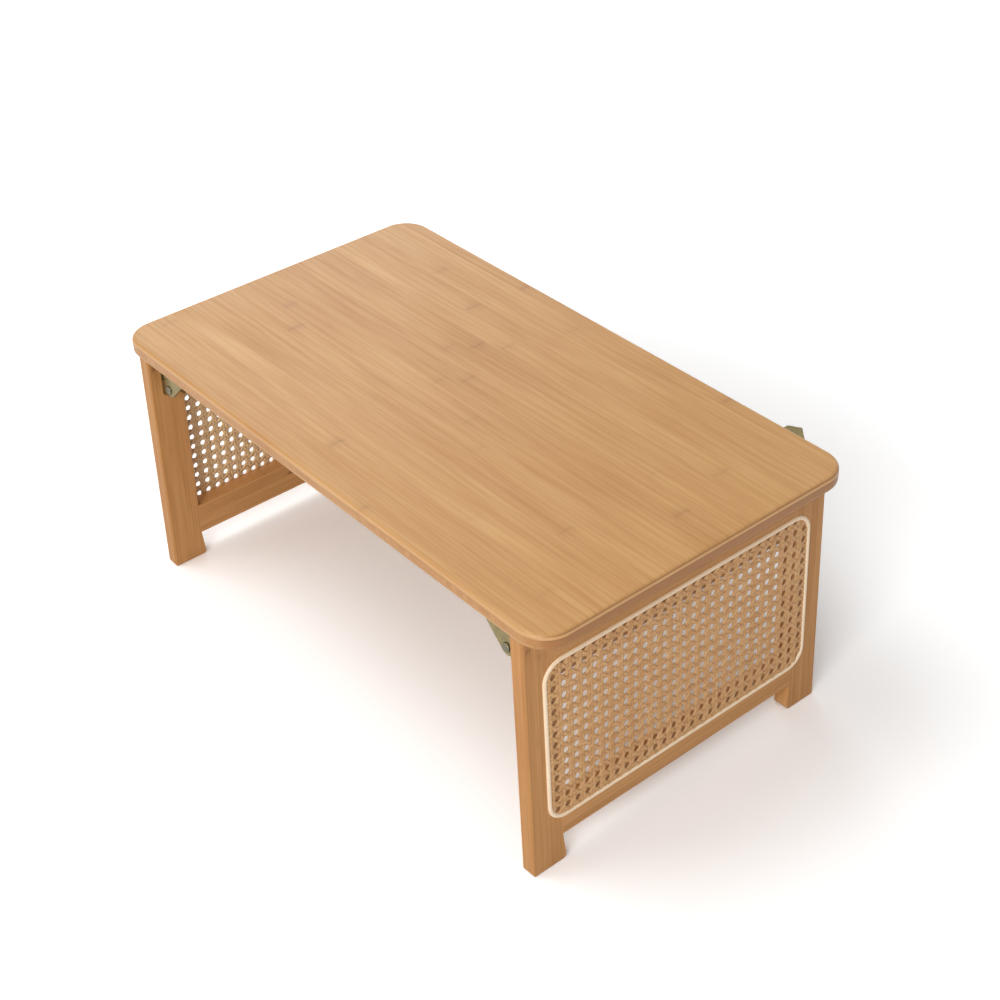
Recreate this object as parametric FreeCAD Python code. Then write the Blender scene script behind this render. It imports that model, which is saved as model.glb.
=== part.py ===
import FreeCAD, Part
import os
from math import acos, atan2, cos, floor, hypot, pi, radians, sin, tan
from FreeCAD import Placement, Rotation, Vector

# A low folding table. Millimetres. X runs along the length, Y to the rear, Z up.
# The origin is on the floor, under the middle of the whole footprint, the tab at the rear included.

# Tabletop, one laminated bamboo board
top_length = 600.0
top_depth = 343.0
top_thickness = 15.0
top_corner_radius = 28.0
top_edge_radius = 3.5
table_height = 263.0

# Leg frames, two posts and two rails each, leaning outwards at the feet
frame_inset = 25.0
frame_edge_gap = 2.0
frame_thickness = 15.0
post_width = 33.4
upper_rail_height = 51.0
lower_rail_height = 34.5
foot_height = 26.2
splay_deg = 2.1
long_edge_radius = 2.5
foot_flare = 2.2
flare_height = 7.0
flare_radius = 10.0
foot_corner_radius = 3.5
heel_radius = 3.0

# Cane panel, laid on the outer face and held by a reed spline in a groove
cane_thickness = 1.5
cane_pitch_along = 10.92
cane_pitch_up = 11.65
cane_hole_width = 5.0
cane_hole_margin = 2.0
cane_lap_side = 13.0
cane_lap_top = 15.2
cane_lap_bottom = 11.6
spline_width = 4.4
spline_corner_radius = 17.5
spline_proud = 1.7
spline_crown_radius = 2.0
groove_depth = 3.6
cane_gap = 0.15

# Dowels between rails and posts
dowel_radius = 3.0
dowel_length = 30.0
dowel_in_post = 10.0
upper_dowel_spacing = 26.0
lower_dowel_spacing = 14.0

# Folding brackets, pressed steel, one at the top of each post
sheet = 1.5
bracket_width = 16.6
bracket_shift = 2.1
bracket_start = 1.0
bracket_length = 68.0
cheek_start = 11.0
cheek_end = 54.5
pivot_in = 15.0
pivot_drop = 28.5
pivot_lobe_radius = 7.8
side_gap = 0.3
leg_plate_top = 3.0
leg_plate_bottom = 41.5
leg_cheek_top = 24.0

# Pivot rivet
rivet_radius = 2.5
rivet_head_radius = 4.5
rivet_head_height = 1.6
rivet_crown_radius = 1.1
running_gap = 0.06

# Lock lever, whose nose rides on the rounded end of the leg bracket
lever_in = 40.0
lever_drop = 6.2
lever_pin_radius = 1.5
lever_pin_head_radius = 2.6
lever_pin_head_height = 1.0
lever_pin_crown_radius = 0.5
lever_boss_radius = 3.8
lever_travel_deg = 4.5
nose_radius = 2.0
nose_angle_deg = 100.0
seat_turn_deg = 15.0
cam_radius = 6.0
cam_gap = 0.3
cam_steps = 12

# Finger tab of the lever, past the rear edge of the top at the right rear bracket only
tab_reach = 30.5
tab_near_slant = 13.0
tab_far_slant = 6.3
tab_start = 27.7
tab_peak = 42.5
tab_length = 26.0
tab_low_drop = 10.3
tab_high_drop = 3.5
tab_rise_start = 12.5
tab_rise_run = 8.6
tab_bend_radius = 2.5
tab_corner_radius = 2.0
tab_lip_height = 8.0
tab_lip_setback = 17.0
tab_lip_corner_radius = 2.5
window_start = 24.6
window_near_drop = 7.6
window_far_drop = 9.8

# Leaf spring that presses the nose down
leaf_thickness = 0.6
leaf_width = 7.0
leaf_root_in = 37.0
leaf_bend_in = 29.0
leaf_bend_radius = 4.0
leaf_overhang = 1.6
leaf_touch_gap = 0.1

# Wood screws
screw_radius = 1.9
screw_length = 12.0
screw_tip_length = 3.0
screw_tip_radius = 0.4
screw_head_radius = 3.8
screw_head_height = 2.0
screw_crown_radius = 1.3
recess_length = 4.2
recess_width = 0.9
recess_depth = 1.1
top_screw_ins = (9.0, 62.5)
leg_screw_drops = (11.5, 36.5)

# Small allowances
fit_gap = 0.05
overrun = 5.0
tiny = 0.001

# Derived places
splay = radians(splay_deg)
fold = radians(90.0 + splay_deg)
lever_travel = radians(lever_travel_deg)
half_length = top_length / 2
half_depth = top_depth / 2
underside = table_height - top_thickness
board_y = -tab_reach / 2
inner_x = half_length - frame_inset - frame_thickness
post_outer_y = half_depth - frame_edge_gap
post_inner_y = post_outer_y - post_width
bracket_y = (post_outer_y + post_inner_y) / 2 - bracket_shift
floor_drop = underside / cos(splay)
foot_drop = (underside + frame_thickness * sin(splay)) / cos(splay)
rail_bottom_drop = floor_drop - foot_height
opening_bottom_drop = rail_bottom_drop - lower_rail_height
half_bracket = bracket_width / 2
half_inner = half_bracket - sheet
leg_half = half_inner - side_gap
lever_half = half_inner - side_gap - side_gap / 2
pivot = (pivot_in, -pivot_drop)
lever_pivot = (lever_in, -lever_drop)
nose_reach = cam_radius + nose_radius + cam_gap
nose = (
    pivot[0] + nose_reach * cos(radians(nose_angle_deg)),
    pivot[1] + nose_reach * sin(radians(nose_angle_deg)),
)
tab_tip = half_depth - bracket_y + tab_reach
UP = Vector(0, 0, 1)
REARWARD = Vector(0, 1, 0)
ENDS = ("left", "right")
SIDES = ("front", "rear")
TURNED_CORNER = ("left", "rear")


# Outlines in two coordinates
def arc_between(centre, radius, start, end, place):
    middle = (start + end) / 2
    spots = [place(centre[0] + radius * cos(a), centre[1] + radius * sin(a)) for a in (start, middle, end)]
    return Part.Arc(*spots).toShape()


def add_line(edges, first, second):
    if (second - first).Length > tiny:
        edges.append(Part.LineSegment(first, second).toShape())


def belt(circles, place):
    """Outline drawn tight round circles (a, b, radius), listed anticlockwise; radius 0 is a sharp corner."""
    count = len(circles)
    normals = []
    for i in range(count):
        (a, b, r), (c, d, s) = circles[i], circles[(i + 1) % count]
        lean = acos((r - s) / hypot(c - a, d - b))
        normals.append(atan2(d - b, c - a) - lean)
    edges = []
    for i in range(count):
        a, b, r = circles[i]
        c, d, s = circles[(i + 1) % count]
        start = normals[i - 1]
        turn = (normals[i] - start) % (2 * pi)
        if r > 0:
            edges.append(arc_between((a, b), r, start, start + turn, place))
        n = normals[i]
        add_line(edges, place(a + r * cos(n), b + r * sin(n)), place(c + s * cos(n), d + s * sin(n)))
    return Part.Wire(Part.__sortEdges__(edges))


def rounded(corners, place):
    """Outline through corners (a, b, radius), each rounded by its radius, hollow corners too."""
    count = len(corners)
    starts, ends, middles = [], [], []
    for i in range(count):
        a, b, r = corners[i]
        before, after = corners[i - 1], corners[(i + 1) % count]
        back = Vector(before[0] - a, before[1] - b, 0).normalize()
        ahead = Vector(after[0] - a, after[1] - b, 0).normalize()
        half = acos(max(-1.0, min(1.0, back.dot(ahead)))) / 2
        here = Vector(a, b, 0)
        if r <= 0 or pi / 2 - half < tiny:
            starts.append(here)
            ends.append(here)
            middles.append(None)
            continue
        inward = (back + ahead).normalize()
        starts.append(here + back * (r / tan(half)))
        ends.append(here + ahead * (r / tan(half)))
        middles.append(here + inward * (r / sin(half) - r))
    edges = []
    for i in range(count):
        if middles[i] is not None:
            spots = [place(p.x, p.y) for p in (starts[i], middles[i], ends[i])]
            edges.append(Part.Arc(*spots).toShape())
        after = starts[(i + 1) % count]
        add_line(edges, place(ends[i].x, ends[i].y), place(after.x, after.y))
    return Part.Wire(Part.__sortEdges__(edges))


def strip(path, thickness):
    """Corners of a bent strip of even thickness along a path of (a, b, bend radius)."""
    left, right = [], []
    half = thickness / 2
    for i, (a, b, r) in enumerate(path):
        ahead = path[i + 1] if i + 1 < len(path) else None
        before = path[i - 1] if i else None
        first = Vector(a - before[0], b - before[1], 0).normalize() if before else None
        second = Vector(ahead[0] - a, ahead[1] - b, 0).normalize() if ahead else None
        first, second = first or second, second or first
        normals = [Vector(-d.y, d.x, 0) for d in (first, second)]
        mitre = normals[0] + normals[1]
        mitre = mitre * (half / mitre.dot(normals[0]))
        turn = 1 if first.x * second.y - first.y * second.x >= 0 else -1
        left.append((a + mitre.x, b + mitre.y, r - turn * half if r else 0))
        right.append((a - mitre.x, b - mitre.y, r + turn * half if r else 0))
    return left + right[::-1]


# Planes that outlines are drawn in
def across(y):
    """Plane of a bracket's cheeks: distance in from the leg's inner face, height against the underside."""
    return lambda a, b: Vector(inner_x - a, y, underside + b)


def along(x):
    """Plane across the table: Y and Z as they are."""
    return lambda a, b: Vector(x, a, b)


def level(z):
    """Level plane: X and Y as they are."""
    return lambda a, b: Vector(a, b, z)


def prism(wire, direction):
    return Part.Face(wire).extrude(direction)


def cheek(wire_at, low, high):
    return prism(wire_at(across(low)), Vector(0, high - low, 0))


def face_spot(drop, proud=0.0):
    """Spot on the leg's leaning inner face, in bracket coordinates, stood off it by proud."""
    return (
        proud * cos(splay) - drop * sin(splay),
        -proud * sin(splay) - drop * cos(splay),
    )


def spot(pair, y=0.0):
    """Place of a pair of bracket coordinates, at y."""
    return across(y)(*pair)


def cross_pin(centre, radius, low, high):
    return Part.makeCylinder(radius, high - low, spot(centre, low), REARWARD)


def headed_pin(centre, radius, head_radius, head_height, crown):
    """Pin through both cheeks with a round head at each end."""
    pin = cross_pin(centre, radius, -half_bracket, half_bracket)
    for side in (-1, 1):
        start = spot(centre, side * half_bracket)
        head = Part.makeCylinder(head_radius, head_height, start, REARWARD * side)
        circles = [e for e in head.Edges if len(e.Vertexes) == 1]
        rim = [e for e in circles if abs(e.CenterOfMass.y - start.y) > head_height / 2]
        pin = pin.fuse(head.makeFillet(crown, rim))
    return pin.removeSplitter()


# Wood screws
def screw(seat, direction):
    """Pan-head screw: seat is the spot under the head, direction points into the wood."""
    head = Part.makeCylinder(screw_head_radius, screw_head_height)
    circles = [e for e in head.Edges if len(e.Vertexes) == 1]
    rim = [e for e in circles if e.CenterOfMass.z > screw_head_height / 2]
    head = head.makeFillet(screw_crown_radius, rim)
    body_length = screw_length - screw_tip_length
    body = Part.makeCylinder(screw_radius, body_length, Vector(0, 0, -body_length))
    tip = Part.makeCone(screw_tip_radius, screw_radius, screw_tip_length, Vector(0, 0, -screw_length))
    whole = head.fuse([body, tip])
    for size in ((recess_length, recess_width), (recess_width, recess_length)):
        corner = Vector(-size[0] / 2, -size[1] / 2, screw_head_height - recess_depth)
        whole = whole.cut(Part.makeBox(size[0], size[1], screw_head_height, corner))
    whole.Placement = Placement(seat, Rotation(-UP, direction))
    return whole.removeSplitter()


def screw_hole(seat, direction):
    """Hole from well outside the seat to just past the screw's tip."""
    length = overrun + screw_length + fit_gap
    return Part.makeCylinder(screw_radius + fit_gap, length, seat - direction * overrun, direction)


into_leg = Vector(cos(splay), 0, sin(splay))
top_screw_seats = [spot((place, -sheet)) for place in top_screw_ins]
leg_screw_seats = [spot(face_spot(drop, sheet)) for drop in leg_screw_drops]


# Folding bracket, built at the right end with its middle at y = 0
def top_bracket():
    base = Part.makeBox(
        bracket_length,
        bracket_width,
        sheet,
        Vector(inner_x - bracket_start - bracket_length, -half_bracket, underside - sheet),
    )
    circles = [(cheek_start, 0, 0), (pivot[0], pivot[1], pivot_lobe_radius), (cheek_end, 0, 0)]
    plain = cheek(lambda place: belt(circles, place), -half_bracket, -half_inner)
    windowed = cheek(lambda place: belt(circles, place), half_inner, half_bracket)
    reach = cheek_end + overrun
    below = -pivot_drop - pivot_lobe_radius - overrun
    window = [
        (window_start, -window_near_drop, 0),
        (window_start, below, 0),
        (reach, below, 0),
        (reach, -window_far_drop, 0),
    ]
    windowed = windowed.cut(cheek(lambda place: rounded(window, place), 0, bracket_width))
    body = base.fuse([plain, windowed])
    cutters = [screw_hole(seat, UP) for seat in top_screw_seats]
    cutters.append(cross_pin(pivot, rivet_radius + running_gap, -bracket_width, bracket_width))
    cutters.append(cross_pin(lever_pivot, lever_pin_radius + running_gap, -bracket_width, bracket_width))
    return body.cut(cutters).removeSplitter()


def turned(pair, centre, angle):
    a, b = pair[0] - centre[0], pair[1] - centre[1]
    return (centre[0] + a * cos(angle) - b * sin(angle), centre[1] + a * sin(angle) + b * cos(angle))


def cam_path():
    """Cam points from the open seat to the folded end, as polar (angle, radius) about the pivot."""
    path = []
    for i in range(cam_steps + 1):
        share = i / cam_steps
        place = turned(nose, lever_pivot, -lever_travel * share)
        a, b = place[0] - pivot[0], place[1] - pivot[1]
        path.append((atan2(b, a) - fold * share, hypot(a, b) - nose_radius - cam_gap))
    return path


def leg_cheek_outline(place):
    top, bottom = face_spot(leg_cheek_top), face_spot(leg_plate_bottom)
    cam = cam_path()
    end_angle, end_radius = cam[-1]
    seat_angle, seat_radius = cam[0]
    rise = atan2(pivot[1] - bottom[1], pivot[0] - bottom[0])
    low_angle = rise - acos(-end_radius / hypot(pivot[0] - bottom[0], pivot[1] - bottom[1]))
    high_angle = seat_angle + radians(seat_turn_deg)

    def rim(angle, radius):
        return place(pivot[0] + radius * cos(angle), pivot[1] + radius * sin(angle))

    curve = Part.BSplineCurve()
    curve.interpolate([rim(angle, radius) for angle, radius in reversed(cam)])
    edges = [curve.toShape()]
    add_line(edges, place(*bottom), rim(low_angle, end_radius))
    edges.append(arc_between(pivot, end_radius, low_angle, end_angle, place))
    edges.append(arc_between(pivot, seat_radius, seat_angle, high_angle, place))
    add_line(edges, rim(high_angle, seat_radius), place(*top))
    add_line(edges, place(*top), place(*bottom))
    return Part.Wire(Part.__sortEdges__(edges))


def leg_bracket():
    plate = [
        face_spot(leg_plate_top) + (0,),
        face_spot(leg_plate_bottom) + (0,),
        face_spot(leg_plate_bottom, sheet) + (0,),
        face_spot(leg_plate_top, sheet) + (0,),
    ]
    body = cheek(lambda place: rounded(plate, place), -leg_half, leg_half)
    sides = [
        cheek(leg_cheek_outline, -leg_half, sheet - leg_half),
        cheek(leg_cheek_outline, leg_half - sheet, leg_half),
    ]
    body = body.fuse(sides)
    cutters = [screw_hole(seat, into_leg) for seat in leg_screw_seats]
    cutters.append(cross_pin(pivot, rivet_radius + running_gap, -bracket_width, bracket_width))
    return body.cut(cutters).removeSplitter()


def lock_lever():
    """Two ears on a cross plate that runs out to the finger tab, with the nose bar between the ears."""
    ears = [(nose[0], nose[1], nose_radius), (lever_pivot[0], lever_pivot[1], lever_boss_radius)]
    parts = [
        cheek(lambda place: belt(ears, place), -lever_half, sheet - lever_half),
        cheek(lambda place: belt(ears, place), lever_half - sheet, lever_half),
        cross_pin(nose, nose_radius, -lever_half, lever_half),
    ]
    low, high = -tab_low_drop - sheet / 2, -tab_high_drop - sheet / 2
    path = [
        (-lever_half, low, 0),
        (tab_rise_start, low, tab_bend_radius),
        (tab_rise_start + tab_rise_run, high, tab_bend_radius),
        (tab_tip, high, 0),
    ]
    tab_end = tab_start + tab_length
    far_x = inner_x - tab_end
    near_x = inner_x - tab_start
    profile = rounded(strip(path, sheet), lambda a, b: Vector(far_x, a, underside + b))
    bent = prism(profile, Vector(tab_length, 0, 0))
    outline = [
        (far_x, -lever_half, 0),
        (near_x, -lever_half, 0),
        (near_x, tab_tip - tab_near_slant, tab_corner_radius),
        (inner_x - tab_peak, tab_tip, tab_corner_radius),
        (far_x, tab_tip - tab_far_slant, tab_corner_radius),
    ]
    bent = bent.common(prism(rounded(outline, level(0)), UP * underside))
    lip_low = tab_rise_start + tab_rise_run + tab_bend_radius
    lip = Part.makeBox(
        sheet,
        tab_tip - tab_lip_setback - lip_low,
        tab_lip_height,
        Vector(near_x - sheet, lip_low, underside - tab_high_drop - tab_lip_height),
    )
    lip_edges = [e for e in lip.Edges if abs(e.tangentAt(e.FirstParameter).x) > 1 - tiny]
    lip_edges = [e for e in lip_edges if e.CenterOfMass.z < underside - tab_high_drop - tab_lip_height / 2]
    parts += [bent, lip.makeFillet(tab_lip_corner_radius, lip_edges)]
    body = parts[0].fuse(parts[1:])
    bore = cross_pin(lever_pivot, lever_pin_radius + running_gap, -bracket_width, bracket_width)
    return body.cut(bore).removeSplitter()


def leaf_spring():
    """Flat strip welded under the base plate, bent down on to the nose bar."""
    half = leaf_thickness / 2
    root_level = -sheet - half
    touch_level = nose[1] + nose_radius + leaf_touch_gap + half
    path = [
        (leaf_root_in, root_level, 0),
        (leaf_bend_in, root_level, leaf_bend_radius),
        (nose[0], touch_level, leaf_bend_radius / 2),
        (nose[0] - leaf_overhang, touch_level, 0),
    ]
    return cheek(lambda place: rounded(strip(path, leaf_thickness), place), -leaf_width / 2, leaf_width / 2)


# Tabletop
def tabletop():
    right, rear = half_length - top_corner_radius, half_depth - top_corner_radius
    circles = [(a * right, b * rear, top_corner_radius) for a, b in ((-1, -1), (1, -1), (1, 1), (-1, 1))]
    board = prism(belt(circles, level(underside)), UP * top_thickness)
    rims = [e for e in board.Edges if abs(e.tangentAt(e.FirstParameter).z) < tiny]
    board = board.makeFillet(top_edge_radius, rims)
    board.translate(Vector(0, board_y, 0))
    holes = [screw_hole(seat, UP) for seat in top_screw_seats]
    return board.cut([at_corner(hole, end, side) for hole in holes for end in ENDS for side in SIDES])


# Leg frame in its own coordinates: X out from the inner face, Z up from the top of that face
def stand_frame(shape, trim=False):
    """Puts a frame piece in the table at the right end, and cuts soles and tops level."""
    shape = shape.copy()
    shape.Placement = Placement(
        Vector(inner_x, board_y, underside), Rotation(REARWARD, -splay_deg)
    ).multiply(shape.Placement)
    if not trim:
        return shape
    slab = Part.makeBox(top_length, 2 * top_depth, underside, Vector(0, -top_depth, 0))
    return shape.common(slab)


def rear_post_blank():
    corners = [
        (post_inner_y, 0, 0),
        (post_inner_y, -rail_bottom_drop, 0),
        (post_inner_y - foot_flare, flare_height - foot_drop, flare_radius),
        (post_inner_y - foot_flare, -foot_drop, foot_corner_radius),
        (post_outer_y, -foot_drop, heel_radius),
        (post_outer_y, 0, 0),
    ]
    blank = prism(rounded(corners, along(0)), Vector(frame_thickness, 0, 0))
    corner = Vector(0, post_inner_y - foot_flare, -foot_drop)
    bar = Part.makeBox(frame_thickness, post_width + foot_flare, foot_drop, corner)
    outer_edges = [e for e in bar.Edges if all(abs(v.Y - post_outer_y) < tiny for v in e.Vertexes)]
    bar = bar.makeFillet(long_edge_radius, [e for e in outer_edges if e.Length > post_width])
    return bar.common(blank)


def rail_blank(height, bottom_drop):
    corner = Vector(0, -post_inner_y, -bottom_drop)
    return Part.makeBox(frame_thickness, 2 * post_inner_y, height, corner)


def lower_rail_blank():
    blank = rail_blank(lower_rail_height, rail_bottom_drop)
    low_edges = [e for e in blank.Edges if all(abs(v.Z + rail_bottom_drop) < tiny for v in e.Vertexes)]
    return blank.makeFillet(long_edge_radius, [e for e in low_edges if e.Length > post_inner_y])


def spline_outline(offset, x):
    """Rounded rectangle of the spline's middle line, grown by offset."""
    side = post_inner_y + cane_lap_side + offset
    top = cane_lap_top - upper_rail_height + offset
    bottom = -(opening_bottom_drop + cane_lap_bottom) - offset
    radius = spline_corner_radius + offset
    corners = ((-1, bottom + radius), (1, bottom + radius), (1, top - radius), (-1, top - radius))
    return belt([(a * (side - radius), b, radius) for a, b in corners], along(x))


def spline_ring(width, low, high):
    outer = prism(spline_outline(width / 2, low), Vector(high - low, 0, 0))
    inner = prism(spline_outline(-width / 2, low), Vector(high - low, 0, 0))
    return outer.cut(inner)


def reed_spline():
    low = frame_thickness - groove_depth + fit_gap
    high = frame_thickness + spline_proud
    ring = spline_ring(spline_width - 2 * fit_gap, low, high)
    crown = [e for e in ring.Edges if all(abs(v.X - high) < tiny for v in e.Vertexes)]
    return ring.makeFillet(spline_crown_radius, crown)


def cane_panel():
    """Flat net with an octagonal hole for each mesh of the weave that lies over the opening."""
    edge = -spline_width / 2 - cane_gap
    middle = -(upper_rail_height + opening_bottom_drop) / 2
    corner = cane_hole_width / 2 / cos(pi / 8)
    angles = [pi / 8 + i * pi / 4 for i in range(8)]
    taken = cane_hole_width + 2 * cane_hole_margin
    columns = floor((2 * post_inner_y - taken) / cane_pitch_along) + 1
    rows = floor((opening_bottom_drop - upper_rail_height - taken) / cane_pitch_up) + 1
    holes = []
    for i in range(columns):
        for j in range(rows):
            y = (i - (columns - 1) / 2) * cane_pitch_along
            z = middle + (j - (rows - 1) / 2) * cane_pitch_up
            spots = [Vector(frame_thickness, y + corner * cos(a), z + corner * sin(a)) for a in angles]
            holes.append(Part.makePolygon(spots + spots[:1]))
    face = Part.Face([spline_outline(edge, frame_thickness)] + holes)
    return face.extrude(Vector(cane_thickness, 0, 0))


def dowels(radius):
    """Dowels of one frame, each running from a rail into a post."""
    upper_middle = -upper_rail_height / 2
    lower_middle = lower_rail_height / 2 - rail_bottom_drop
    heights = [upper_middle + side * upper_dowel_spacing / 2 for side in (-1, 1)]
    heights += [lower_middle + side * lower_dowel_spacing / 2 for side in (-1, 1)]
    start = post_inner_y + dowel_in_post - dowel_length
    pieces = []
    for side in (-1, 1):
        for height in heights:
            base = Vector(frame_thickness / 2, side * start, height)
            pieces.append(Part.makeCylinder(radius, dowel_length, base, REARWARD * side))
    return pieces


def flipped(shape):
    return shape.mirror(Vector(0, 0, 0), REARWARD)


def at_end(shape, end):
    return shape.mirror(Vector(0, 0, 0), Vector(1, 0, 0)) if end == "left" else shape


def at_corner(shape, end, side):
    """Moves a piece built at the right end, at y = 0, to a corner; one bracket is turned, its tab inwards."""
    moved = flipped(shape) if (end, side) == TURNED_CORNER else shape.copy()
    moved.translate(Vector(0, board_y + (bracket_y if side == "rear" else -bracket_y), 0))
    return at_end(moved, end)


def save(shape, name):
    shape.exportStep(os.path.join("parts", name + ".step"))


def frame_pieces():
    """Every piece of the right-hand leg frame, standing in its place."""
    groove = spline_ring(spline_width, frame_thickness - groove_depth, frame_thickness + overrun)
    bores = dowels(dowel_radius + fit_gap)
    screw_holes = []
    for seat in leg_screw_seats:
        hole = screw_hole(seat, into_leg)
        screw_holes += [at_corner(hole, "right", side) for side in SIDES]
    wood = {
        "rear_post": rear_post_blank(),
        "front_post": flipped(rear_post_blank()),
        "upper_rail": rail_blank(upper_rail_height, upper_rail_height),
        "lower_rail": lower_rail_blank(),
    }
    pieces = {}
    for name, blank in wood.items():
        stood = stand_frame(blank.cut([groove] + bores), trim=True)
        pieces[name] = stood.cut(screw_holes) if name.endswith("post") else stood
    pieces["cane_panel"] = stand_frame(cane_panel())
    pieces["reed_spline"] = stand_frame(reed_spline())
    pieces["dowels"] = stand_frame(Part.makeCompound(dowels(dowel_radius)))
    return pieces


def bracket_pieces():
    """Every piece of one folding bracket, at y = 0 of the right end."""
    rivet_head = (rivet_head_radius, rivet_head_height, rivet_crown_radius)
    pin_head = (lever_pin_head_radius, lever_pin_head_height, lever_pin_crown_radius)
    return {
        "top_bracket": top_bracket(),
        "leg_bracket": leg_bracket(),
        "pivot_rivet": headed_pin(pivot, rivet_radius, *rivet_head),
        "lock_lever": lock_lever(),
        "lever_pin": headed_pin(lever_pivot, lever_pin_radius, *pin_head),
        "leaf_spring": leaf_spring(),
        "top_screws": Part.makeCompound([screw(seat, UP) for seat in top_screw_seats]),
        "leg_screws": Part.makeCompound([screw(seat, into_leg) for seat in leg_screw_seats]),
    }


def main():
    os.makedirs("parts", exist_ok=True)
    save(tabletop(), "tabletop_board")
    frame = frame_pieces()
    bracket = bracket_pieces()
    for end in ENDS:
        for name, shape in frame.items():
            save(at_end(shape, end), end + "_" + name)
        for side in SIDES:
            for name, shape in bracket.items():
                save(at_corner(shape, end, side), "_".join((end, side, name)))


main()
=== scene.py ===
import math
import random

import bpy
from mathutils import Matrix, Vector


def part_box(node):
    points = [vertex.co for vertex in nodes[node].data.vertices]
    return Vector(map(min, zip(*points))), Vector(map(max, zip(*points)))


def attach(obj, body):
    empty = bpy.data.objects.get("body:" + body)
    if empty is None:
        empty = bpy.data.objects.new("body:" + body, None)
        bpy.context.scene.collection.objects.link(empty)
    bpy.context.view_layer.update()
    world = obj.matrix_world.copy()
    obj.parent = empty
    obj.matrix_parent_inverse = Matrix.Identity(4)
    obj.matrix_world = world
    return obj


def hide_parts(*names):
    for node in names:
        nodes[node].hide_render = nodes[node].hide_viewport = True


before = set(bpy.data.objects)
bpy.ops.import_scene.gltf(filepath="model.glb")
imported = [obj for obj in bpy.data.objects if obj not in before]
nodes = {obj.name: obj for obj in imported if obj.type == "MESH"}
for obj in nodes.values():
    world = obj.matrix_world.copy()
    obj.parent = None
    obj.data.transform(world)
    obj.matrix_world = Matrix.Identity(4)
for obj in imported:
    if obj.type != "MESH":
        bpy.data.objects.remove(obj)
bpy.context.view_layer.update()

MM = 0.001
ENDS = {"left": -1, "right": 1}
CORNERS = [(end, side) for end in ENDS for side in ("front", "rear")]

# Leg frames, in radians and millimetres
SPLAY = math.radians(2.1)
FRAME_THICK = 15.0
ARRIS_WIDTH = 0.8
ARRIS_ANGLE = math.radians(50)
CANE_CORNER_RADIUS = 15.1

# Colours of wood: a pale tone, a deep tone, and the tone of its nodes, seams and glue lines, which also
# serves for painted shade behind the cane and a painted dark reflection at the top's end arris
TOP_TONES = ((0.580, 0.325, 0.122), (0.445, 0.212, 0.062), (0.215, 0.090, 0.030))
PLY_TONES = ((0.540, 0.270, 0.095), (0.400, 0.170, 0.048), (0.180, 0.070, 0.022))
LEG_TONES = ((0.610, 0.305, 0.105), (0.440, 0.190, 0.050), (0.170, 0.062, 0.018))
DOWEL_TONES = ((0.60, 0.42, 0.24), (0.48, 0.31, 0.16))
END_UPPER_TONE = (0.76, 0.42, 0.17)
END_LOWER_TONE = (0.37, 0.150, 0.038)
# Painted highlight along the rounded arris of a long side of the top
SIDE_ARRIS_HIGHLIGHT = (0.66, 0.42, 0.23)

# Colours of cane and reed
CANE_SKIN = ((0.0, (0.73, 0.435, 0.195)), (0.5, (0.60, 0.305, 0.108)), (1.0, (0.40, 0.175, 0.050)))
# Darker cut edges of a strand, also painted shade between neighbouring strands
CANE_EDGE_AND_SHADE = (0.26, 0.12, 0.04)
# Pale pith of the inner side, also painted light shining through the thin cane
CANE_PITH_AND_BACKLIGHT = ((0.86, 0.61, 0.35), (0.62, 0.39, 0.19))
REED_TONES = ((0.99, 0.80, 0.58), (0.95, 0.73, 0.50))
REED_PATCH = (0.91, 0.71, 0.47)

# Metals: clean tone, stained tone and roughness
METALS = {
    "plated_steel": ((0.27, 0.215, 0.095), (0.135, 0.110, 0.052), 0.36),
    "rivet_steel": ((0.20, 0.18, 0.12), (0.10, 0.09, 0.06), 0.38),
    "spring_steel": ((0.30, 0.30, 0.32), (0.16, 0.15, 0.15), 0.30),
    "screw_steel": ((0.34, 0.29, 0.14), (0.20, 0.18, 0.10), 0.32),
}
SCUFF_TONE = (0.42, 0.39, 0.30)

# Depth of the surface relief, in metres
WOOD_DEPTH = 0.00015
FINE_DEPTH = 0.0001


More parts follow.
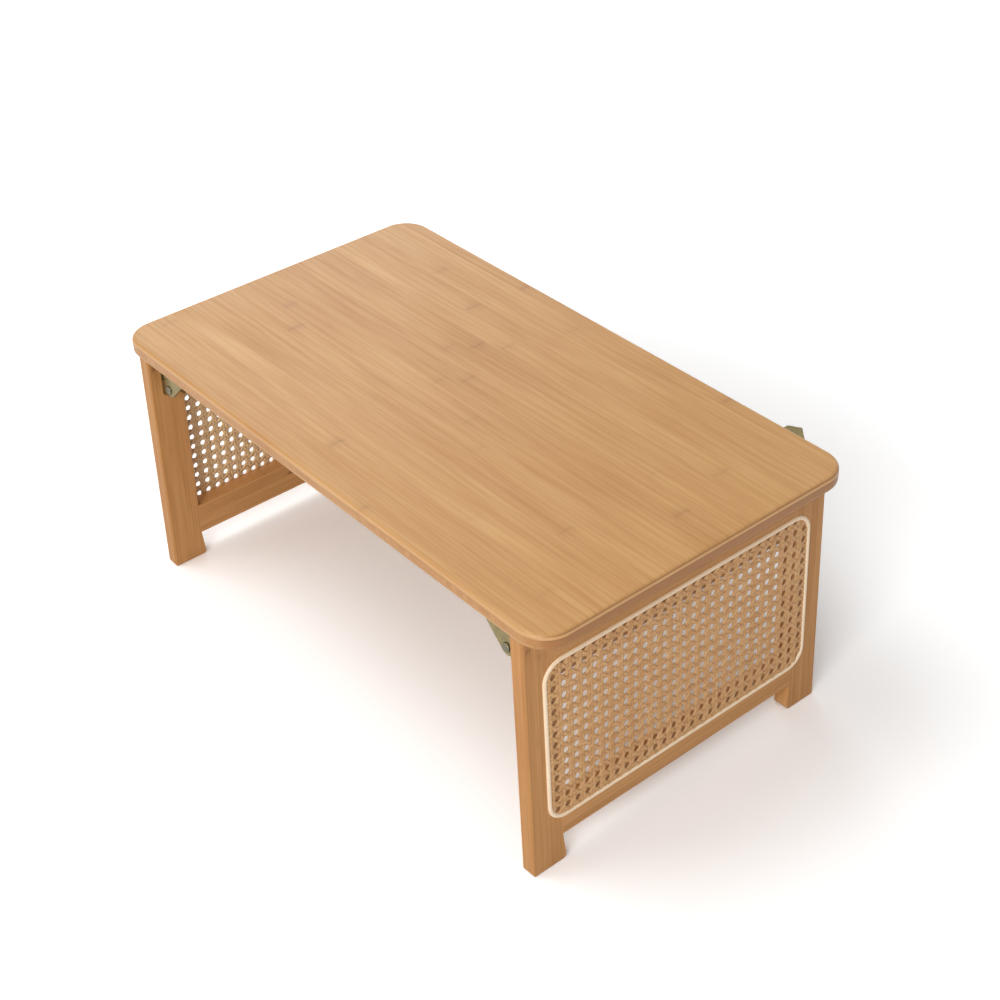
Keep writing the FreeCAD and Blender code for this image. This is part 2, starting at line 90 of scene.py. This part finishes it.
# Node graphs
class Graph:
    """Builds the nodes of a material or world. A value is a number, a colour or a node's output."""

    def __init__(self, owner):
        owner.use_nodes = True
        self.owner = owner
        self.tree = owner.node_tree
        self.tree.nodes.clear()

    def node(self, kind, inputs=None, **settings):
        made = self.tree.nodes.new("ShaderNode" + kind)
        for key, value in settings.items():
            setattr(made, key, value)
        for key, value in (inputs or {}).items():
            self.feed(made.inputs[key], value)
        return made

    def feed(self, socket, value):
        """Links an output to a socket, or sets the socket to a number, vector or colour."""
        if isinstance(value, bpy.types.NodeSocket):
            self.tree.links.new(value, socket)
        elif socket.type == "RGBA":
            socket.default_value = (*value, 1)
        else:
            socket.default_value = value

    def math(self, operation, *values):
        return self.node("Math", dict(enumerate(values)), operation=operation).outputs[0]

    def add(self, first, *others):
        for other in others:
            first = self.math("ADD", first, other)
        return first

    def times(self, first, *others):
        for other in others:
            first = self.math("MULTIPLY", first, other)
        return first

    def distance(self, first, second):
        return self.math("ABSOLUTE", self.math("SUBTRACT", first, second))

    def vector(self, operation, *values):
        return self.node("VectorMath", dict(enumerate(values)), operation=operation).outputs[0]

    def length(self, vector):
        return self.node("VectorMath", {0: vector}, operation="LENGTH").outputs["Value"]

    def point(self):
        """The place on the surface, in millimetres of the row frame at rest."""
        place = self.node("TexCoord").outputs["Object"]
        return self.node("VectorMath", {0: place, 3: 1 / MM}, operation="SCALE").outputs[0]

    def split(self, vector):
        return self.node("SeparateXYZ", {0: vector}).outputs

    def join(self, x, y, z):
        return self.node("CombineXYZ", {0: x, 1: y, 2: z}).outputs[0]

    def noise(self, vector, scale=1.0, detail=2.0, roughness=0.5):
        inputs = {"Vector": vector, "Scale": scale, "Detail": detail, "Roughness": roughness}
        return self.node("TexNoise", inputs).outputs["Fac"]

    def random(self, value):
        """A steady random number from 0 to 1 for each value."""
        return self.node("TexWhiteNoise", {"W": value}, noise_dimensions="1D").outputs["Value"]

    def spread(self, value, low, high, to_low=0.0, to_high=1.0, smooth=False):
        """Takes the range from low to high over to another range, and stops at its ends."""
        inputs = {0: value, 1: low, 2: high, 3: to_low, 4: to_high}
        kind = "SMOOTHSTEP" if smooth else "LINEAR"
        return self.node("MapRange", inputs, interpolation_type=kind).outputs[0]

    def swing(self, value, amount):
        """Takes the range from 0 to 1 over to one from -amount to amount."""
        return self.spread(value, 0.0, 1.0, -amount, amount)

    def uneven(self, noise, low, high):
        """Lets a noise, which lies mostly between 0.3 and 0.7, run from low to high."""
        return self.spread(noise, 0.3, 0.7, low, high)

    def stripe(self, value, place, core, edge, strength=1.0):
        """Strength up to core away from a place, and nothing from edge on."""
        return self.spread(self.distance(value, place), core, edge, strength, 0.0)

    def mix(self, share, first, second):
        inputs = {"Factor": share, 6: first, 7: second}
        return self.node("Mix", inputs, data_type="RGBA").outputs[2]

    def ramp(self, value, stops):
        made = self.node("ValToRGB", {0: value})
        elements = made.color_ramp.elements
        while len(elements) < len(stops):
            elements.new(0.5)
        for element, (place, colour) in zip(elements, stops):
            element.position = place
            element.color = (*colour, 1)
        return made.outputs[0]

    def seen(self):
        """1 for what the camera, metal and glass show, and 0 for the light on the object."""
        path = self.node("LightPath").outputs
        mirrored = self.math("MAXIMUM", path["Is Glossy Ray"], path["Is Transmission Ray"])
        return self.math("MAXIMUM", path["Is Camera Ray"], mirrored)

    def surface(self, shader, output="OutputMaterial"):
        """Ends the graph in a shader, and returns the material or world."""
        self.node(output, {0: shader.outputs[0]})
        return self.owner

    def shade(self, colour, height, bump, depth, **settings):
        """Ends the graph in a Principled shader, with settings such as Roughness=0.4."""
        shader = self.node("BsdfPrincipled", {"Base Color": colour})
        for key, value in settings.items():
            self.feed(shader.inputs[key.replace("_", " ")], value)
        relief = self.node("Bump", {"Height": height, "Strength": bump, "Distance": depth})
        self.feed(shader.inputs["Normal"], relief.outputs[0])
        return self.surface(shader)


def material_graph(name):
    return Graph(bpy.data.materials.new(name))


# Bamboo
SEAM_WIDTH = 0.14
SEAM_SHARE = 0.25
CLOUD_CHANGE = 0.2
RELIEF = {"fine": 0.4, "broad": 0.3, "seam": -0.5, "knot": 0.3}
# Chance: what sets a strip's three random numbers apart, how far its fibres shift, and its nodes' luck
STRIP_DRAWS = (0.37, 57.13, 131.71)
STRIP_SHIFT = 900.0
NODE_SHIFT = 7.0
NODE_DRAW = 3.17
NODE_STRIP_DRAW = 11.9
# A node's bend over a strip and its ragged edge, in millimetres
NODE_BOW = 10.0
NODE_RAGGED = 5.0


def strips(g, along, stack, deep, width, shift, node_gap, node_seen, streak):
    """Glued bamboo strips: fibres run along, and strips of one width lie side by side in stack."""
    across = g.add(g.math("DIVIDE", stack, width), shift)
    index = g.math("FLOOR", across)
    middle = g.math("SUBTRACT", g.math("FRACT", across), 0.5)
    off_middle = g.math("ABSOLUTE", middle)
    first, second, third = (g.random(g.add(index, draw)) for draw in STRIP_DRAWS)
    place = g.add(along, g.times(first, STRIP_SHIFT))
    spot = g.join(place, stack, deep)

    def fibres(length, size, detail, roughness):
        """Noise with grains of a length along the fibres and a size across them."""
        grain = g.vector("DIVIDE", spot, (length, size, size))
        return g.noise(grain, detail=detail, roughness=roughness)

    fine = fibres(length=34.0, size=0.5, detail=3.0, roughness=0.6)
    broad = fibres(length=120.0, size=streak, detail=3.0, roughness=0.5)
    cloud = fibres(length=120.0, size=30.0, detail=2.0, roughness=0.5)

    # A node of the culm may cross a strip every node_gap, as a bent and frayed line with a halo
    bow = g.times(middle, middle, g.swing(second, NODE_BOW))
    ragged = g.swing(fibres(length=5.0, size=1.1, detail=3.0, roughness=0.6), NODE_RAGGED)
    bent = g.add(place, bow, ragged)
    turn = g.add(g.math("DIVIDE", bent, node_gap), g.times(second, NODE_SHIFT))
    number = g.math("FLOOR", turn)
    away = g.times(g.distance(g.math("FRACT", turn), 0.5), node_gap)
    luck = g.random(g.add(g.times(number, NODE_DRAW), g.times(index, NODE_STRIP_DRAW)))
    seen = g.spread(luck, 1 - node_seen, 1.0)
    inside = g.spread(off_middle, 0.30, 0.5, 1.0, 0.1, smooth=True)
    line = g.spread(away, 0.3, 3.0, 0.6, 0.0, smooth=True)
    streaky = g.spread(fine, 0.40, 0.64, 0.1, 0.6)
    halo = g.times(g.spread(away, 1.0, 14.0, 1.0, 0.0, smooth=True), streaky)
    knot = g.times(g.add(line, halo), g.times(seen, inside))

    seam = g.spread(off_middle, 0.5 - SEAM_WIDTH / width, 0.5)
    tone = g.add(g.swing(first, 0.5), g.swing(third, 0.25))
    return {"tone": tone, "fine": fine, "broad": broad, "cloud": cloud, "knot": knot, "seam": seam}


def wood_colour(g, s, tones, strip_change, fibre_change, knot_share):
    """Colour of bamboo strips between a pale and a deep tone, with darker seams and nodes."""
    pale, deep, knot = tones
    value = g.add(
        g.times(s["tone"], strip_change),
        g.spread(s["fine"], 0.3, 0.75, -fibre_change / 2, fibre_change / 2),
        g.uneven(s["broad"], -fibre_change, fibre_change),
        g.uneven(s["cloud"], -CLOUD_CHANGE, CLOUD_CHANGE),
        0.5,
    )
    colour = g.mix(value, pale, deep)
    colour = g.mix(g.times(s["seam"], SEAM_SHARE), colour, knot)
    return g.mix(g.times(s["knot"], knot_share), colour, knot)


def wood_height(g, s):
    return g.add(*(g.times(s[part], share) for part, share in RELIEF.items()))


def top_material():
    """Three plies: the outer two run lengthwise in flat strips, the middle one runs across on edge."""
    g = material_graph("bamboo_top")
    x, y, z = g.split(g.point())
    low, high = (corner.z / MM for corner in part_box("tabletop_board"))
    ply = (high - low) / 3
    middle = (low + high) / 2
    upper_glue = middle + ply / 2
    outer = strips(g, x, y, z, width=21.0, shift=0.31, node_gap=270.0, node_seen=0.8, streak=3.6)
    inner = strips(g, y, x, z, width=6.5, shift=0.0, node_gap=240.0, node_seen=0.5, streak=1.9)
    outer_colour = wood_colour(g, outer, TOP_TONES, strip_change=0.30, fibre_change=0.30, knot_share=0.42)
    inner_colour = wood_colour(g, inner, PLY_TONES, strip_change=0.30, fibre_change=0.25, knot_share=0.5)
    inner_ply = g.stripe(z, middle, ply / 2 - 0.15, ply / 2 + 0.15)
    glue = g.stripe(g.distance(z, middle), ply / 2, 0.0, 0.3, strength=0.5)
    colour = g.mix(inner_ply, outer_colour, inner_colour)
    colour = g.mix(glue, colour, PLY_TONES[2])

    # An end is pale on its upper ply and dark below, with a dark upper glue line and a painted dark
    # reflection along its arris
    facing_x, facing_y = g.split(g.node("NewGeometry").outputs["Normal"])[:2]
    end_face = g.spread(g.math("ABSOLUTE", facing_x), 0.45, 0.8)
    upper_ply = g.spread(g.math("SUBTRACT", z, upper_glue), -0.2, 0.2)
    end_tone = g.mix(upper_ply, END_LOWER_TONE, END_UPPER_TONE)
    end_share = g.times(end_face, g.spread(upper_ply, 0.0, 1.0, 0.85, 0.65))
    # Painted reflection: a dark line on the rounded end arris, standing in for dark surroundings mirrored
    # there
    painted_arris_reflection = g.stripe(z, high - 1.3, 0.5, 1.2)
    end_glue = g.stripe(z, upper_glue, 0.2, 1.0)
    arris_reflection_and_glue = g.math("MAXIMUM", g.times(painted_arris_reflection, 1.3), end_glue)
    colour = g.mix(end_share, colour, end_tone)
    colour = g.mix(g.times(end_face, arris_reflection_and_glue, 0.5), colour, PLY_TONES[2])

    # Painted highlight: a long side is paler at its rounded arris
    long_face = g.spread(g.math("ABSOLUTE", facing_y), 0.45, 0.8)
    painted_side_highlight = g.stripe(z, high - 2.2, 0.5, 1.3)
    colour = g.mix(g.times(long_face, painted_side_highlight, 0.4), colour, SIDE_ARRIS_HIGHLIGHT)

    height = g.mix(inner_ply, wood_height(g, outer), wood_height(g, inner))
    rough = g.uneven(outer["broad"], 0.36, 0.46)
    return g.shade(colour, height, 0.2, WOOD_DEPTH, Roughness=rough, Specular_IOR_Level=0.4)


def painted_cane_shade(g, end):
    """1 where the cane lies on the outer face of a leg frame, and 0 elsewhere: where shade behind the cane is
    painted.
    """
    y, z = g.split(g.point())[1:]
    low, high = (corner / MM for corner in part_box(end + "_cane_panel"))
    aside = []
    for place, start, stop in ((y, low.y, high.y), (z, low.z, high.z)):
        flat = (stop - start) / 2 - CANE_CORNER_RADIUS
        off_flat = g.math("SUBTRACT", g.distance(place, (start + stop) / 2), flat)
        aside.append(g.math("MAXIMUM", off_flat, 0.0))
    away = g.length(g.join(*aside, 0.0))
    inside = g.spread(away, CANE_CORNER_RADIUS - 1.5, CANE_CORNER_RADIUS - 0.5, 1.0, 0.0)
    facing_x = g.split(g.node("TexCoord").outputs["Normal"])[0]
    outward = g.times(facing_x, float(ENDS[end]))
    return g.times(g.spread(outward, 0.5, 0.9), inside)


def leg_material(end, piece, grain):
    """Strips on edge, with shade painted where the cane covers them. Grain is z for a post and y for a rail.
    """
    g = material_graph(f"{end}_{piece}_bamboo")
    lean = ENDS[end] * SPLAY
    turned = g.node("VectorRotate", {"Vector": g.point(), "Angle": lean}, rotation_type="Y_AXIS")
    x, y, z = g.split(turned.outputs[0])
    along, stack = (z, y) if grain == "z" else (y, z)
    s = strips(g, along, stack, x, width=5.6, shift=0.43, node_gap=190.0, node_seen=0.45, streak=1.6)
    colour = wood_colour(g, s, LEG_TONES, strip_change=0.55, fibre_change=0.28, knot_share=0.75)
    # Painted shade: the wood behind the cane is darkened towards the node tone
    colour = g.mix(g.times(painted_cane_shade(g, end), 0.65), colour, LEG_TONES[2])
    height = wood_height(g, s)
    rough = g.uneven(s["broad"], 0.50, 0.62)
    return g.shade(colour, height, 0.3, WOOD_DEPTH, Roughness=rough, Specular_IOR_Level=0.4)


def dowel_material():
    g = material_graph("dowel_wood")
    fibre = g.noise(g.vector("MULTIPLY", g.point(), (2.0, 0.05, 2.0)), detail=3.0)
    colour = g.mix(g.uneven(fibre, 0.0, 1.0), *DOWEL_TONES)
    return g.shade(colour, fibre, 0.3, FINE_DEPTH, Roughness=0.6)


# Cane and reed. Each point of a strand carries these values for the cane's material.
STRAND_VALUES = ("strand", "along", "across", "pith")


def cane_material():
    """Split cane: glossy skin on the crown of a strand, darker cut edges that also paint the shade between
    strands, and pale pith on the inner side that also paints light shining through the thin cane.
    """
    g = material_graph("cane")
    strand, along, across, pith = (
        g.node("Attribute", attribute_name=name).outputs["Fac"] for name in STRAND_VALUES
    )
    streak_place = g.vector("MULTIPLY", g.join(along, across, strand), (0.05, 4.0, 90.0))
    streak = g.noise(streak_place, detail=3.0, roughness=0.6)
    patch = g.noise(g.vector("MULTIPLY", g.join(along, 0.0, strand), (0.06, 0.0, 40.0)))
    value = g.add(
        g.times(strand, 0.40),
        g.uneven(patch, 0.0, 0.40),
        g.spread(streak, 0.35, 0.7, -0.12, 0.20),
    )
    colour = g.ramp(value, CANE_SKIN)
    # Darker cut edges, which also paint the shade between neighbouring strands
    edge_and_shade = g.spread(g.math("ABSOLUTE", across), 0.26, 0.5, 0.0, 0.6, smooth=True)
    colour = g.mix(edge_and_shade, colour, CANE_EDGE_AND_SHADE)
    # Pale pith on the inner side, which also paints light shining through the thin cane
    pith_and_backlight = g.spread(pith, 0.2, 0.7, 0.0, 0.9)
    colour = g.mix(pith_and_backlight, colour, g.mix(value, *CANE_PITH_AND_BACKLIGHT))
    rough = g.uneven(streak, 0.36, 0.52)
    return g.shade(colour, streak, 0.3, FINE_DEPTH, Roughness=rough)


def reed_material():
    g = material_graph("reed")
    place = g.point()
    grain = g.noise(g.vector("MULTIPLY", place, (2.0, 0.4, 0.4)), detail=3.0, roughness=0.6)
    patch = g.noise(place, scale=0.03)
    colour = g.mix(g.spread(grain, 0.35, 0.7), *REED_TONES)
    colour = g.mix(g.spread(patch, 0.4, 0.7, 0.0, 0.5), colour, REED_PATCH)
    return g.shade(colour, grain, 0.25, FINE_DEPTH, Roughness=0.5)


def metal_material(name):
    """Steel with a fine rolled grain, cloudy stains and small scuffs."""
    clean, stained, rough = METALS[name]
    g = material_graph(name)
    place = g.point()
    cloud = g.noise(place, scale=0.18, detail=3.0, roughness=0.6)
    rolled = g.noise(g.vector("MULTIPLY", place, (0.2, 4.0, 4.0)))
    scuff = g.noise(place, scale=1.4, detail=4.0, roughness=0.7)
    colour = g.mix(g.spread(cloud, 0.38, 0.66, 0.0, 0.5), clean, stained)
    colour = g.mix(g.spread(scuff, 0.62, 0.8, 0.0, 0.5), colour, SCUFF_TONE)
    worn = g.uneven(scuff, rough - 0.06, rough + 0.1)
    return g.shade(colour, rolled, 0.12, FINE_DEPTH, Roughness=worn, Metallic=1.0)


# Woven cane, in millimetres of the leg frame: along Y from its middle, and up from the top's underside
PITCH_ALONG = 10.92
PITCH_UP = 11.65
# The middle of one hole of each panel
HOLE_AT = {"left": (-4.7, -185.1), "right": (0.9, -189.0)}
# Half the gap of a pair, and the places where a strand is crossed, as shares of the pitch
PAIR = 0.142
CROSSINGS = (-PAIR, PAIR, 0.5 - PAIR, 0.5 + PAIR)
STRAND_WIDTH = 3.3
STRAND_THICK = 0.65
STRAND_CLEAR = 0.05
# Width of the diagonals, and how dark they may be, for each way they slope
SLANTS = {1: (3.2, 0.35), -1: (2.8, 1.0)}
# Cross-section of a strand: across it, and up from the wood, as shares of its width and thickness
PROFILE = (
    (-0.5, -0.42), (0.0, -0.5), (0.5, -0.42), (0.44, 0.16), (0.16, 0.5), (-0.16, 0.5), (-0.44, 0.16),
)
RING_STEP = PITCH_ALONG / 12
FEWEST_RINGS = 3
# How far strands run on under the reed, how far before it they start to dip, and how deep they dip
TUCK = 2.0
DIP_START = 1.2
DIP = 2.2
# Chance: the seed of each panel, and the ranges of a strand's shift, width and place in the grain
SEEDS = {"left": 11, "right": 23}
SHIFTS = (-0.16, 0.16)
WIDTHS = (0.93, 1.07)
PHASES = (0, 1000)


def panel_frame(end):
    """Matrix from millimetres of the leg frame (out, along Y, up from the underside) to the row frame."""
    side = ENDS[end]
    low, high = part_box(end + "_upper_rail")
    inner = low.x if side > 0 else high.x
    turn = Matrix.Rotation(-SPLAY, 4, "Y")
    mirror = Matrix.Diagonal((side, 1, 1, 1))
    spot = Vector((abs(inner), (low.y + high.y) / 2, high.z))
    return mirror @ Matrix.Translation(spot) @ turn @ Matrix.Scale(MM, 4)


def cane_edges(end, to_row):
    """Low Y, low height, high Y and high height of a cane panel, in millimetres of its leg frame."""
    low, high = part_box(end + "_cane_panel")
    from_row = to_row.inverted()
    far_x = ENDS[end] * max(abs(low.x), abs(high.x))
    near_x = ENDS[end] * min(abs(low.x), abs(high.x))
    bottom = (from_row @ Vector((far_x, 0, low.z))).z
    top = (from_row @ Vector((near_x, 0, high.z))).z
    half = (high.y - low.y) / 2 / MM
    return -half, bottom, half, top


def corner_inset(y, z, box, radius):
    """How far a place lies inside a rounded rectangle, less than 0 outside it."""
    low_y, low_z, high_y, high_z = box
    dy = max(low_y + radius - y, y - high_y + radius)
    dz = max(low_z + radius - z, z - high_z + radius)
    if dy > 0 and dz > 0:
        return radius - math.hypot(dy, dz)
    return radius - max(dy, dz)


def inside_runs(line, box, radius):
    """The stretches of a line of places that lie inside a rounded rectangle, each with its insets."""
    runs = [[]]
    for t, y, z in line:
        inset = corner_inset(y, z, box, radius)
        if inset > 0:
            runs[-1].append((t, y, z, inset))
        elif runs[-1]:
            runs.append([])
    return [run for run in runs if len(run) >= FEWEST_RINGS]


def wave(crossings, place):
    """Height of a strand between -1 and 1 from its sorted crossings (place, height)."""
    for (p, a), (q, b) in zip(crossings, crossings[1:]):
        if p <= place <= q:
            share = (place - p) / (q - p)
            return a + (b - a) * (0.5 - 0.5 * math.cos(math.pi * share))
    return crossings[0][1] if place < crossings[0][0] else crossings[-1][1]


def periodic(heights, reach, pitch):
    """Crossings that repeat every pitch, for reach pitches each way."""
    found = []
    for turn in range(-reach - 1, reach + 2):
        found += [((turn + share) * pitch, height) for share, height in zip(CROSSINGS, heights)]
    return found


def tube_faces(base, rings):
    """Faces of a closed tube of rings, each one cross-section, whose points start at base."""
    ring = len(PROFILE)
    last = base + (rings - 1) * ring
    faces = []
    for first in range(base, last, ring):
        for m in range(ring):
            n = (m + 1) % ring
            faces.append((first + m, first + n, first + ring + n, first + ring + m))
    faces.append(tuple(reversed(range(base, base + ring))))
    faces.append(tuple(range(last, last + ring)))
    return faces


def weave(end, material):
    """One cane panel: square-mesh cane with pairs each way and diagonals both ways, tucked under the reed."""
    to_row = panel_frame(end)
    low_y, bottom, high_y, top = cane_edges(end, to_row)
    box = (low_y - TUCK, bottom - TUCK, high_y + TUCK, top + TUCK)
    radius = CANE_CORNER_RADIUS + TUCK
    hole_y, hole_z = HOLE_AT[end]
    mid_y = hole_y - PITCH_ALONG / 2
    mid_z = hole_z + PITCH_UP * (math.floor((top + bottom) / 2 / PITCH_UP - hole_z / PITCH_UP) + 0.5)
    seed = random.Random(SEEDS[end])
    points, faces = [], []
    values = {name: [] for name in STRAND_VALUES}

    def lay(origin, direction, crossings, reach, wide=STRAND_WIDTH, dark=1.0):
        """Adds one strand where it lies inside the panel, up to reach each way from its origin."""
        size = math.hypot(*direction)
        sideways = (-direction[1] / size, direction[0] / size)
        shift = seed.uniform(*SHIFTS)
        width = wide * seed.uniform(*WIDTHS)
        tone = seed.random() * dark
        phase = seed.uniform(*PHASES)
        line = []
        for k in range(int(2 * reach / RING_STEP) + 1):
            t = k * RING_STEP - reach
            y = origin[0] + direction[0] * t + mid_y
            z = origin[1] + direction[1] * t + mid_z
            line.append((t, y, z))
        for run in inside_runs(line, box, radius):
            faces.extend(tube_faces(len(points), len(run)))
            for t, y, z, inset in run:
                height = wave(crossings, t)
                dip = max(0.0, 1 - inset / (TUCK + DIP_START))
                flat = FRAME_THICK + STRAND_CLEAR + STRAND_THICK
                lift = flat + height * STRAND_THICK / 2 - dip * dip * DIP
                for a, b in PROFILE:
                    off = a * width + shift
                    spot = (lift + b * STRAND_THICK, y + sideways[0] * off, z + sideways[1] * off)
                    points.append(to_row @ Vector(spot))
                    own = (tone, t * size + phase, a, max(0.0, -2 * b))
                    for name, value in zip(STRAND_VALUES, own):
                        values[name].append(value)

    reach_y = math.ceil(high_y / PITCH_ALONG) + 2
    reach_z = math.ceil((top - bottom) / 2 / PITCH_UP) + 2
    reach_slant = reach_y + reach_z + 1
    along_y, along_z = reach_y * PITCH_ALONG, reach_z * PITCH_UP
    for i in range(-reach_y, reach_y + 1):
        for side in (-1, 1):
            crossings = periodic((side, -side, side, -side), reach_z, PITCH_UP)
            lay(((i + side * PAIR) * PITCH_ALONG, 0.0), (0.0, 1.0), crossings, along_z)
    for j in range(-reach_z, reach_z + 1):
        for side in (-1, 1):
            crossings = periodic((-side, side, side, -side), reach_y, PITCH_ALONG)
            lay((0.0, (j + side * PAIR) * PITCH_UP), (1.0, 0.0), crossings, along_y)
    for k in range(-reach_slant, reach_slant + 1):
        for turn in (-1, 1):
            crossings = periodic((turn, turn, -turn, -turn), reach_y, PITCH_ALONG)
            slope = turn * PITCH_UP / PITCH_ALONG
            lay((0.0, (k + 0.5) * PITCH_UP), (1.0, slope), crossings, along_y, *SLANTS[turn])

    mesh = bpy.data.meshes.new(end + "_cane_weave")
    mesh.from_pydata(points, [], faces)
    for name in STRAND_VALUES:
        mesh.attributes.new(name, "FLOAT", "POINT").data.foreach_set("value", values[name])
    if ENDS[end] < 0:
        mesh.flip_normals()
    mesh.shade_smooth()
    mesh.materials.append(material)
    piece = bpy.data.objects.new(end + "_cane_weave", mesh)
    bpy.context.scene.collection.objects.link(piece)
    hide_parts(end + "_cane_panel")
    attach(piece, end + "_leg_frame")


# Looks of the CAD pieces
def dress(name, material):
    mesh = nodes[name].data
    mesh.materials.clear()
    mesh.materials.append(material)


def ease(name):
    """Takes the sharp arris off a sawn piece."""
    bevel = nodes[name].modifiers.new("arris", "BEVEL")
    bevel.width = ARRIS_WIDTH * MM
    bevel.segments = 2
    bevel.limit_method = "ANGLE"
    bevel.angle_limit = ARRIS_ANGLE
    bevel.harden_normals = True


def build_looks():
    dress("tabletop_board", top_material())
    reed = reed_material()
    dowel = dowel_material()
    cane = cane_material()
    metals = {name: metal_material(name) for name in METALS}
    for end in ENDS:
        post = leg_material(end, "post", "z")
        rail = leg_material(end, "rail", "y")
        for name in ("front_post", "rear_post"):
            dress(end + "_" + name, post)
            ease(end + "_" + name)
        for name in ("upper_rail", "lower_rail"):
            dress(end + "_" + name, rail)
        dress(end + "_reed_spline", reed)
        dress(end + "_dowels", dowel)
        weave(end, cane)
    for end, side in CORNERS:
        start = f"{end}_{side}_"
        for name in ("top_bracket", "leg_bracket", "lock_lever"):
            dress(start + name, metals["plated_steel"])
        for name in ("pivot_rivet", "lever_pin"):
            dress(start + name, metals["rivet_steel"])
        for name in ("top_screws", "leg_screws"):
            dress(start + name, metals["screw_steel"])
        dress(start + "leaf_spring", metals["spring_steel"])


# Floor, in metres, with the radii of its far glow in millimetres
FLOOR_REACH = 12.0
FLOOR_DROP = 0.0005
FLOOR_COLOUR = 0.78
FLOOR_SEEN = 1.17
FLOOR_NEAR = 350.0
FLOOR_FAR = 1500.0
FLOOR_GLOW = 0.90


def floor_material():
    """Pale floor with the object's shadow, lighter to the camera and mirrors, and white far off."""
    g = material_graph("floor")
    seen = g.seen()
    level = g.spread(seen, 0.0, 1.0, FLOOR_COLOUR, FLOOR_SEEN)
    diffuse = g.node("BsdfDiffuse", {"Color": level})
    radius = g.length(g.point())
    distant = g.spread(radius, FLOOR_NEAR, FLOOR_FAR, 0.0, FLOOR_GLOW, smooth=True)
    glow = g.node("Emission", {"Strength": g.times(seen, distant)})
    return g.surface(g.node("AddShader", {0: diffuse.outputs[0], 1: glow.outputs[0]}))


def build_stage():
    mesh = bpy.data.meshes.new("floor")
    signs = ((-1, -1), (1, -1), (1, 1), (-1, 1))
    corners = [(x * FLOOR_REACH, y * FLOOR_REACH, 0) for x, y in signs]
    mesh.from_pydata(corners, [], [(0, 1, 2, 3)])
    mesh.materials.append(floor_material())
    floor = bpy.data.objects.new("floor", mesh)
    bpy.context.scene.collection.objects.link(floor)
    floor.location.z = -FLOOR_DROP


# Light. A lamp has a place and a target, a width and height, and a power in watts.
LAMPS = {
    "key": ((-0.8, -0.9, 2.4), (0, 0, 0.2), (1.5, 1.5), 28),
    "fill": ((1.30, -2.19, 1.60), (0, 0, 0.15), (1.4, 1.2), 44),
    "wash": ((-2.5, 1.35, 1.65), (0, 0, 0.25), (1.2, 1.2), 11),
}
# Strength of the dome's light at the horizon and overhead
HORIZON = 0.10
ZENITH = 0.58


def build_world():
    """A dome that grows brighter overhead, and that the camera and mirrors see as white."""
    g = Graph(bpy.data.worlds.new("studio"))
    up = g.split(g.node("TexCoord").outputs["Generated"])[2]
    dome = g.spread(up, 0.0, 1.0, HORIZON, ZENITH)
    strength = g.spread(g.seen(), 0.0, 1.0, dome, 1.0)
    background = g.node("Background", {"Color": (1, 1, 1), "Strength": strength})
    bpy.context.scene.world = g.surface(background, "OutputWorld")


def area_light(name, place, target, size, power):
    data = bpy.data.lights.new(name, "AREA")
    data.shape = "RECTANGLE"
    data.size, data.size_y = size
    data.energy = power
    lamp = bpy.data.objects.new(name, data)
    lamp.location = place
    lamp.rotation_euler = (Vector(target) - Vector(place)).to_track_quat("-Z", "Y").to_euler()
    bpy.context.scene.collection.objects.link(lamp)


# Camera, from the calibration of the photograph, with its lens and film in millimetres
CAMERA_PLACE = (1.05464, -0.83223, 1.12718)
CAMERA_AZIMUTH = math.radians(50.991)
CAMERA_ELEVATION = math.radians(36.338)
CAMERA_ROLL = math.radians(-1.814)
CAMERA_LENS = 64.71
CAMERA_FILM = 36


def build_camera():
    data = bpy.data.cameras.new("camera")
    data.lens = CAMERA_LENS
    data.sensor_width = CAMERA_FILM
    camera = bpy.data.objects.new("camera", data)
    back = Vector((
        math.sin(CAMERA_AZIMUTH) * math.cos(CAMERA_ELEVATION),
        -math.cos(CAMERA_AZIMUTH) * math.cos(CAMERA_ELEVATION),
        math.sin(CAMERA_ELEVATION),
    ))
    right = (-back).cross(Vector((0, 0, 1))).normalized()
    up = right.cross(-back)
    c, s = math.cos(CAMERA_ROLL), math.sin(CAMERA_ROLL)
    right, up = c * right + s * up, c * up - s * right
    turn = Matrix((right, up, back)).transposed().to_4x4()
    camera.matrix_world = Matrix.Translation(Vector(CAMERA_PLACE)) @ turn
    bpy.context.scene.collection.objects.link(camera)
    bpy.context.scene.camera = camera


build_looks()
build_stage()
build_world()
for lamp_name, lamp_values in LAMPS.items():
    area_light(lamp_name, *lamp_values)
build_camera()
bpy.context.scene.view_settings.view_transform = "Standard"

bpy.context.view_layer.update()
